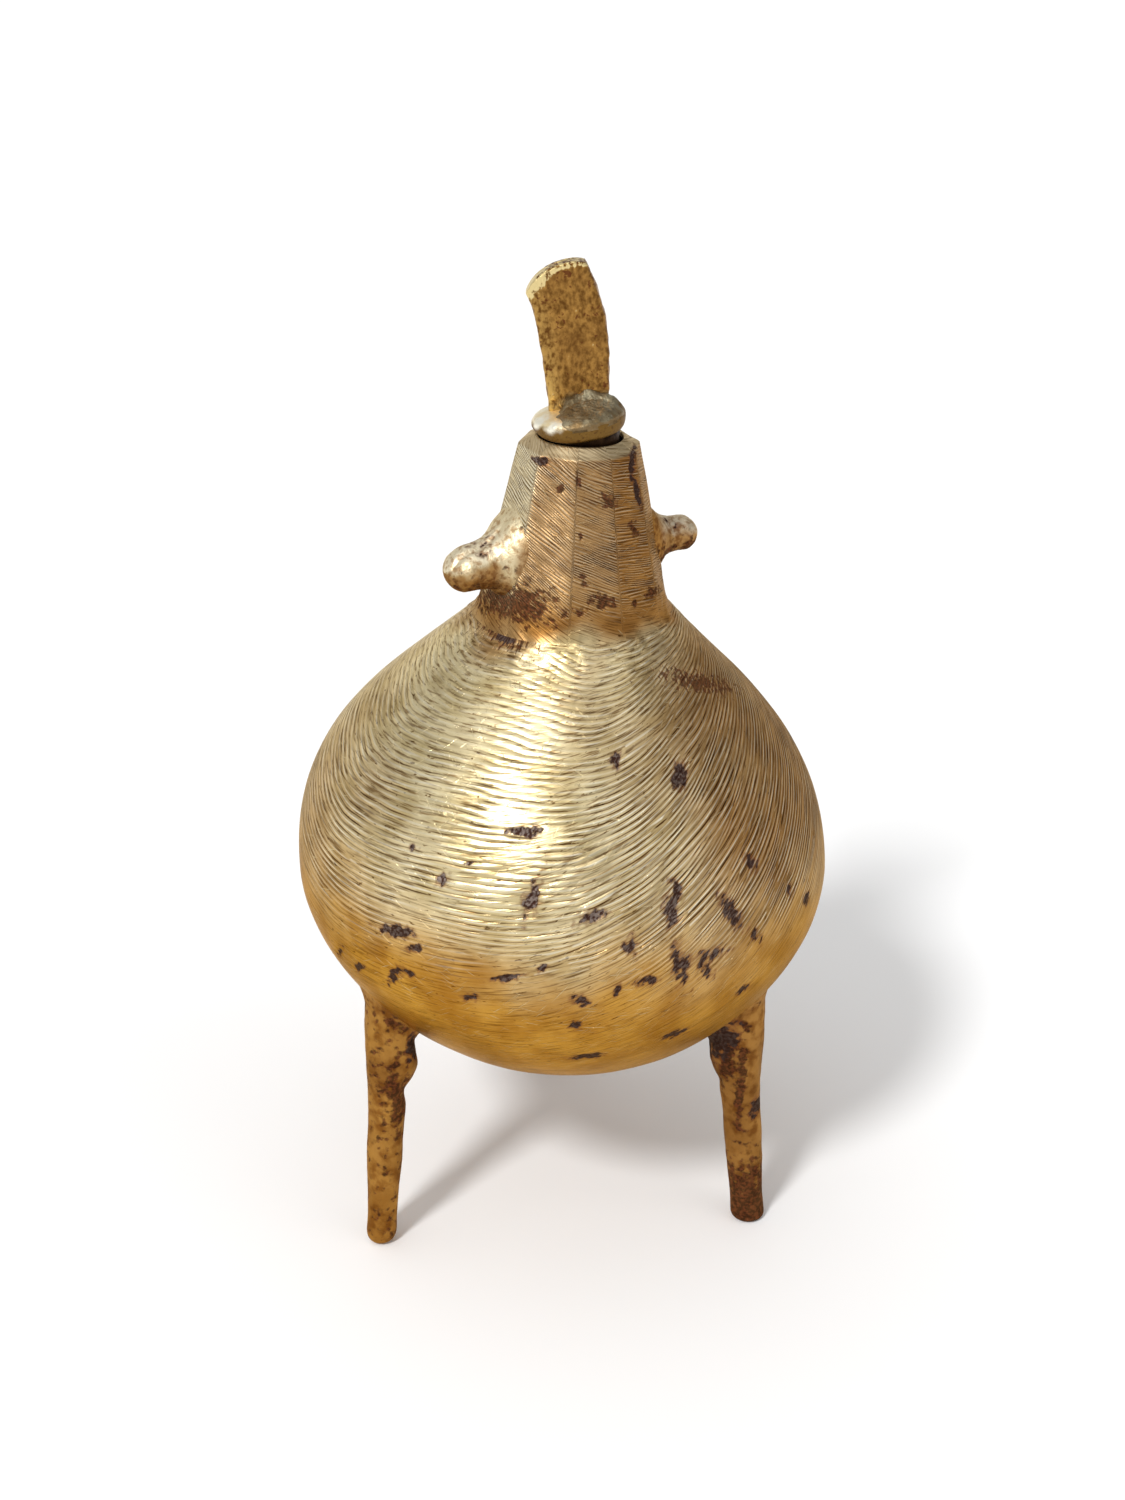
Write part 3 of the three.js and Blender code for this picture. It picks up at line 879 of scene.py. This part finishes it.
def neck_outline():
    """The outside from the seat over the rim, and the bore down to the seat."""
    lip = np.array([(0, -RIM_ROUND), (0, -0.1), (-0.4, 0.05), (-1, 0.35)]) + (RIM_RADIUS, rim_edge)
    brow = np.array([(0.7, -0.15), (0.3, 0), (0, -0.1), (0, -0.8)]) + (MOUTH_RADIUS, NECK_HEIGHT)
    outside = np.vstack([neck_curve, bezier(lip, BEND_POINTS), bezier(brow, BEND_POINTS)])
    bore = [(MOUTH_RADIUS, NECK_HEIGHT - 1), (MOUTH_RADIUS, NECK_HEIGHT - MOUTH_DEPTH), (bore_at_seat, 0)]
    return np.vstack([spread(outside, NECK_ROWS), spread(np.array(bore), BORE_ROWS)])


def make_neck(filed, dark):
    outline = neck_outline()
    radius, height, angle, normals = revolve(outline, NECK_SIDES, -pi)
    outer = np.arange(len(radius)) < NECK_ROWS * NECK_SIDES
    over_rim = smooth(radius, MOUTH_RADIUS + 0.8, RIM_RADIUS)
    flats = (neck_spread(angle, height) - 1) * np.where(height > rim_edge - RIM_ROUND, over_rim, 1)
    points = lean(swept(ways(angle), radius * (1 + np.where(outer, flats, 0)), height))

    zone = np.cos(angle[:, None] - FLAT_DIRECTIONS).argmax(1)
    slant = STROKE_SLANTS[zone]
    arc = radius * ((angle - FLAT_DIRECTIONS[zone] + pi) % (2 * pi) - pi)
    lengthwise = arc * np.cos(slant) + height * np.sin(slant) + 60 * zone
    across = height * np.cos(slant) - arc * np.sin(slant)
    along = np.column_stack([lengthwise, np.zeros(len(arc)), across])
    number = (across + 0.5 * noise(along, (7, 7, 3), 17)) / NECK_STROKE_PITCH
    other = (across + 0.1 * lengthwise + 0.4 * noise(along, (7, 7, 3), 24)) / NECK_OTHER_PITCH
    bundle = smooth(noise(along, (8, 8, 2.4), 18), -0.07, 0.07)
    broken = np.clip(0.6 + 0.9 * noise(along, (5, 5, 1.2), 19), 0.1, 1)
    rim = smooth(height, rim_edge - 0.4, rim_edge + 0.1)
    cut = broken * FLAT_CUTS[zone] * (1 - 0.7 * rim) * smooth(height, 2, 8)
    values, filed_depth = strokes(along, number, other, bundle, cut)

    front = facing_camera(points, np.array([SEAT_SHIFT, 0, seat]))
    behind = outer & (points[:, 1] > 2)
    pit = np.where(outer, marked(points, front, NECK_PITS), -1)
    pit = scattered(pit, points, 5, (0.7, 1.8), 12, behind)
    stain = np.where(outer & (rim < 0.5), marked(points, front, NECK_STAINS_AND_SHADOWS), -1)
    stain = scattered(stain, points, 8, (1, 3.4), 13, behind)
    ragged = np.maximum(pit, stain - 0.25) + 0.5 * rough(points, 1.6, 2, 14)

    depth = NECK_STROKE_DEPTH * filed_depth + 0.2 * (0.5 + 0.5 * noise(points, 7, 16))
    depth += NECK_PIT_DEPTH * smooth(ragged, 0.1, 0.5)
    depth = np.where(outer, depth * smooth(height, 0, 3) + seam_lumps(points), 0)
    points -= normals * depth[:, None]

    # Painted light and shade of the flats, with a painted highlight on the lit one
    brown, bright = flat_shading(angle, height)
    values |= {"pit": pit, "stain": stain, **tones(points), "bright": bright + (RIM_BRIGHT - bright) * rim}
    values["brown"] *= brown + (RIM_BROWN - brown) * rim
    rings = (0, len(outline) - 1)
    brass = [filed, dark]
    skin("neck_filed", "neck", points, NECK_SIDES, brass, values, False, NECK_ROWS, sharp=rings)


# Lugs

LUG_SIDES = 96
LUG_ROWS = 110
LUG_POINTS = 200
LUG_FILLET = 2.4
LUG_TOP_FILLET = 2.2
SUNK = 1.0


def fillet(distance, radius):
    """How far a fillet stands out at a distance from the surface it runs into."""
    inside = np.clip(distance / radius, 0, 1)
    return radius * (1 - np.sqrt(1 - (1 - inside) ** 2))


def make_lug(size, metal):
    """A finger with a flat top, whose root flares onto the neck."""
    tip, root, length, lift = size.tip, size.root, size.reach, size.height
    ball = length - tip
    flank = [(root, MOUTH_RADIUS), (root, MOUTH_RADIUS + LUG_FLARE), (tip, ball - LUG_FLARE), (tip, ball)]
    end = (0, ball) + tip * ways(np.linspace(0.01, pi / 2 - 0.06, BEND_POINTS))
    curve = np.vstack([bezier(flank, LUG_POINTS), end])
    heading = radians(size.azimuth)
    surface = neck_radius(np.array([heading]), np.array([lift]))[0]
    radius, reach, turn, _ = revolve(spread(curve[curve[:, 1] > surface], LUG_ROWS), LUG_SIDES)
    share = (reach - surface) / (length - surface)
    topward = np.maximum(np.sin(turn), 0)
    radius = radius + fillet(reach - surface, LUG_FILLET + LUG_TOP_FILLET * topward)
    aside = radius * np.cos(turn)
    raised = radius * np.sin(turn)
    raised *= 1 - size.flatness * (raised > 0) * smooth(share, 0, 0.5)

    across = reach
    for _ in range(3):
        wall = neck_radius(heading + np.arctan2(aside, across), lift + raised)
        across = np.sqrt(np.maximum(wall**2 - aside**2, 1))
    along = reach + (across - surface) * (1 - share) ** 2 - SUNK * (1 - smooth(share, 0, 0.1))
    sag = size.sag * ((reach - MOUTH_RADIUS) / (length - MOUTH_RADIUS)) ** 2
    start = np.array([SEAT_SHIFT + lift * NECK_LEAN, 0, seat])
    out_way = np.array([cos(heading), sin(heading), 0])
    side_way = np.array([-sin(heading), cos(heading), 0])
    points = start + along[:, None] * out_way + aside[:, None] * side_way
    points[:, 2] += lift + raised - sag
    middle = start + reach[:, None] * out_way
    middle[:, 2] += lift - sag
    lumps = 0.4 + 0.5 * rough(points, 4.5, 2, 31) + 0.12 * rough(points, 1.3, 2, 35)
    crease = size.crease * hump(aside - 0.18 * reach, -2.2, 0.7) * topward
    depth = (lumps.clip(0) * 0.5 + crease) * smooth(share, 0, 0.12)
    points -= unit(points - middle) * depth[:, None]

    free = smooth(share, 0.05, 0.32)
    patchy = 0.5 * rough(points, 2.4, 3, 38)
    place = points - start
    # The root takes the neck's painted light and shade
    root_brown, root_bright = flat_shading(np.arctan2(place[:, 1], place[:, 0]), place[:, 2])
    on_top = smooth(np.sin(turn) + patchy, -0.3, 0.5)
    # Painted shade: the underside is made browner, less bright and stained darker; the top is made lighter
    own_brown = size.brown + (0.9 - size.brown) * (1 - on_top)
    own_bright = 0.6 * smooth(np.sin(turn) + patchy, 0.0, 0.9)
    below = smooth(-np.sin(turn) + 0.5 * patchy, -0.1, 0.7)
    pitted = topward * hump(share, 0.42, 0.22) * (0.45 + rough(points, 1.2, 2, 33))
    grime = size.grime * smooth(-np.sin(turn) + patchy, -0.4, 0.8)
    values = {
        **tones(points),
        "brown": np.maximum(root_brown + (own_brown - root_brown) * free, 0.85 * below),
        "bright": (root_bright + (own_bright - root_bright) * free) * (1 - below),
        "pit": 1.25 * pitted - 0.72,
        "stain": 0.75 * grime + 0.5 * patchy - 0.35,
    }
    skin(size.name + "_cast", size.name, points, LUG_SIDES, [metal], values)


# Legs

LEG_SIDES = 72
LEG_ROWS = 230
LEG_POINTS = 120
LEG_FILLET = 2.6


def underside(x, y):
    """The height of the bowl's underside above a place on the floor."""
    height = np.full(len(x), belly)
    for _ in range(3):
        distance = np.hypot(x - centre_line(height), y)
        height = np.interp(distance, lower_curve[:, 0], lower_curve[:, 1])
    return height


def make_leg(size, metal):
    """A cast leg that stands on a worn flat and flares onto the bowl's underside."""
    foot, ankle, knee, hip = size.foot, size.ankle, size.knee, size.hip
    calf = (foot + KNEE_HEIGHT) / 2
    thigh = (KNEE_HEIGHT + HIP_HEIGHT) / 2
    toe = bezier([(0.4, 0), (ankle - 0.2 * foot, 0), (ankle, 0.25 * foot), (ankle, foot)], BEND_POINTS)
    lower = bezier([(ankle, foot), (ankle, calf), (knee, calf), (knee, KNEE_HEIGHT)], LEG_POINTS)
    upper = bezier([(knee, KNEE_HEIGHT), (knee, thigh), (hip, thigh), (hip, HIP_HEIGHT)], LEG_POINTS)
    outline = spread(np.vstack([toe, lower[1:], upper[1:]]), LEG_ROWS)
    radius, height, turn, _ = revolve(outline, LEG_SIDES)
    heading = radians(size.azimuth)
    shank = swept(ways(turn), radius, height)
    lumps = 0.5 + 0.42 * rough(shank + 40 * size.azimuth, (4.5, 4.5, 8), 3, 41)
    grow = 1.1 - 0.12 * lumps.clip(0) * smooth(height, 1, 6)
    inward = np.maximum(0, -np.cos(turn))
    swell = size.heel * inward * hump(height, HEEL_HEIGHT, HEEL_SPREAD)
    nick = 0.9 * size.heel * inward * hump(height, HEEL_HEIGHT - 6.5, 2.2)

    top = np.full(len(height), float(HIP_HEIGHT))
    for _ in range(3):
        rise = height + (top - HIP_HEIGHT) * (height / HIP_HEIGHT) ** 2
        wide = radius * grow + fillet(top - rise, LEG_FILLET) + swell - nick
        out = bowl_radius - size.inset + size.splay * (1 - rise / HIP_HEIGHT) + wide * np.cos(turn)
        aside = wide * np.sin(turn)
        x = out * cos(heading) - aside * sin(heading)
        y = out * sin(heading) + aside * cos(heading)
        top = underside(x, y)
    rise += SUNK * smooth(height, HIP_HEIGHT - 1.5, HIP_HEIGHT)
    points = np.column_stack([x, y, np.maximum(rise, 0)])

    # The photo hides the rear leg, so none of its marks are on it
    front = facing_camera(points, points.mean(0)) * (y.mean() < 0)
    # Painted shade on the leg's inner side where it meets the bowl, laid on in pit colours
    root_shade = inward * hump(height, HIP_HEIGHT - 6, 5)
    stain = np.maximum(0.5 * rough(points, 6, 2, 45) - 0.18, size.grime * (1.6 - height / 11))
    values = {
        **tones(points),
        "brown": 0.55 + 0.4 * np.maximum(lumps.clip(0, 1) * smooth(height, 8, 22), size.grime),
        "bright": np.zeros(len(points)),
        "pit": np.maximum(marked(points, front, LEG_PITS), 1.1 * root_shade - 0.75),
        "stain": np.maximum(marked(points, front, LEG_STAINS), stain),
    }
    skin(size.name + "_cast", size.name, points, LEG_SIDES, [metal], values)


# Stopper, made upright in the middle of the mouth and then tilted into its place

DISC_SIDES = 160
DISC_ROWS = 110
DISC_POINTS = 200
PLUG_SIDES = 96
PLUG_ROWS = 70
PLUG_ROUND = 0.6
HANDLE_SIDES = 132
HANDLE_ROWS = 190
HANDLE_CAP_ROWS = 26
HANDLE_SQUARENESS = 7
HANDLE_CAP_ROUND = 0.35
SECTION_POINTS = 1440
SOLDER_SIDES = 120
SOLDER_ROWS = 70
AXIS_GAP = 0.3

disc_middle = STANDOFF + DISC_THICKNESS / 2
disc_face = bezier(
    [(0, DISC_THICKNESS / 2), (DISC_CROWN, DISC_THICKNESS / 2), (DISC_RADIUS, DISC_EDGE), (DISC_RADIUS, 0)],
    DISC_POINTS,
)
disc_upper = disc_face[:-1] + (0, disc_middle)
disc_lower = disc_face * (1, -1) + (0, disc_middle)


def tilt(points):
    """Moves points from an upright stopper to the one askew in the mouth."""
    x, y, z = points.T
    sine, cosine = sin(STOPPER_TILT), cos(STOPPER_TILT)
    place = (SEAT_SHIFT + NECK_HEIGHT * NECK_LEAN, 0, seat + NECK_HEIGHT)
    return np.column_stack([x * cosine - z * sine, y, x * sine + z * cosine]) + place


def make_disc(metal):
    curve = np.vstack([disc_lower, disc_upper[::-1]])
    curve = spread(curve[curve[:, 0] > AXIS_GAP], DISC_ROWS)
    radius, height, angle, normals = revolve(curve, DISC_SIDES)
    points = swept(ways(angle), radius, height)
    below = smooth(disc_middle - height, 0, 1) * smooth(0.3 * points[:, 0] - points[:, 1], -2, 8)
    points[:, 2] -= DISC_SAG * below
    dents = 0.5 + 0.4 * noise(points, 5, 51) + 0.16 * rough(points, 1.4, 2, 53)
    chipped = smooth(radius, 7, 9) * (0.5 + 0.6 * noise(points, 2.6, 55))
    depth = 0.12 * dents.clip(0) + 0.16 * chipped.clip(0)
    points -= normals * depth[:, None]
    under = smooth(disc_middle - points[:, 2], -0.8, 0.8)
    to_right = smooth(points[:, 0], -3.5, 0)
    rim = smooth(radius, 8.2 - to_right, 8.9 - 0.4 * to_right)
    values = {"edge": (0.55 + 0.65 * to_right) * rim + 0.5 * under}
    skin("stopper_disc_rubbed", "stopper_disc", tilt(points), DISC_SIDES, [metal], values)


def make_plug(metal):
    shank = PLUG_RADIUS - 0.05
    outline = np.array(
        [(AXIS_GAP, -PLUG_DEPTH), (PLUG_TIP_RADIUS - PLUG_ROUND, -PLUG_DEPTH),
         (PLUG_TIP_RADIUS, PLUG_ROUND - PLUG_DEPTH), (shank, 0), (shank, disc_middle),
         (AXIS_GAP, disc_middle)]
    )
    radius, height, angle, normals = revolve(spread(outline, PLUG_ROWS), PLUG_SIDES)
    points = swept(ways(angle), radius, height)
    lumps = 0.5 + 0.5 * rough(points, 3, 3, 61)
    points -= normals * (0.3 * lumps.clip(0))[:, None]
    skin("stopper_plug_cast", "stopper_plug", tilt(points), PLUG_SIDES, [metal], {})


def handle_section():
    """The loop of the handle's rounded section, from -1 to 1 each way."""
    turn = ways(np.linspace(0, 2 * pi, SECTION_POINTS))
    loop = np.sign(turn) * abs(turn) ** (2 / HANDLE_SQUARENESS)
    shape = (1, HANDLE_THICKNESS / HANDLE_END_WIDTH)
    return spread(loop * shape, HANDLE_SIDES + 1)[:-1] / shape


def make_handle(metal):
    """A bar along a bent spine. The last rows shrink to a rounded cap."""
    base = np.array([0, disc_middle + 0.6])
    end = np.array([-HANDLE_SWAY, disc_middle + HANDLE_LENGTH])
    rising = np.array([sin(HANDLE_BASE_LEAN), cos(HANDLE_BASE_LEAN)])
    leaning = np.array([-sin(HANDLE_END_LEAN), cos(HANDLE_END_LEAN)])
    spine = bezier([base, base + HANDLE_BEND * rising, end - HANDLE_BEND * leaning, end], HANDLE_ROWS)
    section = handle_section()
    rows = HANDLE_ROWS + HANDLE_CAP_ROWS
    stations = np.arange(rows).clip(max=HANDLE_ROWS - 1)
    shrink = np.append(np.ones(HANDLE_ROWS), np.linspace(0.985, 0.03, HANDLE_CAP_ROWS))
    past_end = np.append(np.zeros(HANDLE_ROWS), 1 - np.linspace(1, 0, HANDLE_CAP_ROWS) ** 6)
    share = np.linspace(0, 1, HANDLE_ROWS)[stations]
    half = (HANDLE_BASE_WIDTH + (HANDLE_END_WIDTH - HANDLE_BASE_WIDTH) * share) / 2
    half += HANDLE_FULLNESS * np.sin(pi * share)

    width, rightward = every(shrink * half, section[:, 0])
    thickness, forward = every(shrink * HANDLE_THICKNESS / 2, section[:, 1])
    lateral = width * rightward
    height, past_end = (np.repeat(column, HANDLE_SIDES) for column in (share, past_end))
    tangents = unit(np.gradient(spine, axis=0))
    middle, along = (np.repeat(line[stations], HANDLE_SIDES, axis=0) for line in (spine, tangents))
    crown = HANDLE_CROWN * smooth(height, 0.75, 1) * (1 - (lateral / half[-1]) ** 2)
    sideways = np.stack([along[:, 1], -along[:, 0]], axis=1)
    up = crown - HANDLE_CAP_ROUND + HANDLE_CAP_ROUND * past_end
    flat = middle + sideways * lateral[:, None] + along * up[:, None]
    points = np.column_stack([flat[:, 0], HANDLE_SETBACK - thickness * forward, flat[:, 1]])

    cap = np.repeat(np.arange(rows) >= HANDLE_ROWS - 1, HANDLE_SIDES)
    flank = abs(rightward)
    away = points - np.column_stack([middle[:, 0], np.full(len(middle), HANDLE_SETBACK), middle[:, 1]])
    away[:, 0] *= smooth(flank, 0.6, 1.0) + 0.02
    away[:, 2] *= np.where(cap, 1, 0.05)
    lumps = 0.5 + 0.4 * rough(points, 4.2, 3, 71) + 0.18 * rough(points, 0.9, 2, 75)
    chips = smooth(flank, 0.86, 1.0) * (0.5 + 0.7 * noise(points, 2.2, 77)).clip(0)
    depth = 0.26 * lumps.clip(0) + 0.3 * chips
    points -= unit(away) * depth[:, None]

    placed = tilt(points)
    band_start = 0.96 - 0.1 * smooth(-rightward, -0.3, 1)
    corner = smooth(height, band_start, 0.98) * (0.55 + 0.45 * smooth(-rightward, -0.6, 0.6))
    values = {
        "bright": np.where(cap, 0.5 + 0.4 * smooth(-rightward, 0.2, 0.9), 0.85 * corner),
        "stain": rough(points, 4, 3, 79) + 0.6 * corner,
        "smear": marked(placed, facing_camera(placed, placed.mean(0)), HANDLE_SMEAR),
        "yellow": smooth(-rightward, 0.3, 1) * (0.4 + 0.6 * (1 - smooth(height, 0.05, 0.45))),
    }
    skin("stopper_handle_cast", "stopper_handle", placed, HANDLE_SIDES, [metal], values)


def make_solder(metal):
    """A run of solder, highest against the handle and thinner to the front of the disc."""
    out, angle = every(np.linspace(0.02, 1, SOLDER_ROWS), circle(SOLDER_SIDES))
    ring = ways(angle)
    edge = 1 + 0.22 * rough(swept(ring, np.full(len(out), 3), 0 * out), 1.6, 2, 81)
    place = SOLDER_MIDDLE + (out * edge)[:, None] * ring * SOLDER_SIZE / 2
    place /= np.maximum(np.linalg.norm(place, axis=1) / (DISC_RADIUS - 0.15), 1)[:, None]
    x, y = place.T
    base = np.interp(np.hypot(x, y), *disc_upper.T)
    face = HANDLE_SETBACK - HANDLE_THICKNESS / 2
    against = np.exp(-np.maximum(face - y, 0) / 1.9) * smooth(x, -5.4, -1) * (1 - 0.35 * smooth(x, 0, 6))
    texture = rough(np.column_stack([x, y, base]), 1.5, 3, 85)
    thick = SOLDER_FILM + SOLDER_HEIGHT * against
    top = base + (1 - out**4) * thick * (1 + 0.15 * texture) + 0.1 * texture - 0.1
    upper, lower = (
        np.column_stack([x, y, level]).reshape(SOLDER_ROWS, SOLDER_SIDES, 3) for level in (top, base - 0.9)
    )
    points = np.concatenate([upper, lower[::-9]])[::-1].reshape(-1, 3)
    values = {"edge": np.append(out, np.ones(len(points) - len(out)))[::-1]}
    skin("stopper_solder_run", "stopper_solder", tilt(points), SOLDER_SIDES, [metal], values)


# Build the pieces

filed = filed_brass()
dark = tarnish()
make_bowl(filed, dark)
make_neck(filed, dark)
lug_metal = cast_brass("cast_lug_brass", 1.1, 0.2, 0.35)
for lug_size in LUGS:
    make_lug(lug_size, lug_metal)
leg_metal = cast_brass("cast_leg_brass", 3.0, 0.24, 0.3)
for leg_size in LEGS:
    make_leg(leg_size, leg_metal)
make_disc(rubbed_brass())
make_plug(dark)
make_handle(handle_brass())
make_solder(soft_solder())


# Floor, light and camera

# The world's light as (height, level), and its level high on the right
WORLD_LEVELS = [(0.0, 1.0), (0.24, 0.88), (0.46, 0.44), (0.62, 0.6), (1.0, 1.1)]
RIGHT_LEVEL = 0.52
FLOOR_REACH = 6.0


def make_floor():
    """A plain pale floor, as a square in metres."""
    shader, place = new_material("pale_floor")
    base = place.noise(400.0).mix((244, 244, 244), (248, 248, 248))
    mesh = bpy.data.meshes.new("floor")
    corners = [(x * FLOOR_REACH, y * FLOOR_REACH, 0) for x, y in [(-1, -1), (1, -1), (1, 1), (-1, 1)]]
    mesh.from_pydata(corners, [], [(0, 1, 2, 3)])
    mesh.materials.append(shader.finish(base, 0.9, metallic=0.0))
    floor = add("floor", mesh)


def make_world():
    """White light from above, dimmer at the height of walls and high on the right."""
    world = bpy.data.worlds.new("studio")
    scene.world = world
    shader = Shader(world)
    way = shader.node("TexCoord", "Generated", {})
    across, height = (shader.node("SeparateXYZ", axis, {0: way}) for axis in "XZ")
    by_height = shader.node("ValToRGB", "Color", {"Fac": height})
    stops = by_height.socket.node.color_ramp.elements
    while len(stops) < len(WORLD_LEVELS):
        stops.new(0.5)
    for stop, (place, level) in zip(stops, WORLD_LEVELS):
        stop.position = place
        stop.color = (level, level, level, 1)
    to_right = across.rise(-0.3, 0.8, 1.0, height.rise(0.06, 0.16, 1.0, RIGHT_LEVEL))
    light = shader.node("Background", "Background", {"Color": by_height, "Strength": to_right})
    shader.node("OutputWorld", None, {"Surface": light})


def make_sun(name, azimuth, elevation, strength, angle):
    """A soft lamp at an azimuth from the camera's side, positive to the right."""
    light = bpy.data.lights.new(name, "SUN")
    light.energy = strength
    light.angle = radians(angle)
    lamp = add(name, light)
    lamp.rotation_euler = (radians(90 - elevation), 0, radians(azimuth))


def make_camera():
    data = bpy.data.cameras.new("camera")
    data.sensor_width = SENSOR_WIDTH
    data.lens = FOCAL_PIXELS / IMAGE_HEIGHT * SENSOR_WIDTH
    camera = add("camera", data)
    camera.location = camera_place * MM
    camera.rotation_euler = (pi / 2 - CAMERA_ELEVATION, 0, 0)
    scene.camera = camera


make_floor()
make_world()
make_sun("key", -32, 46, 2.0, 10)
make_sun("fill", 60, 40, 0.3, 40)
make_camera()
scene.view_settings.view_transform = "Standard"
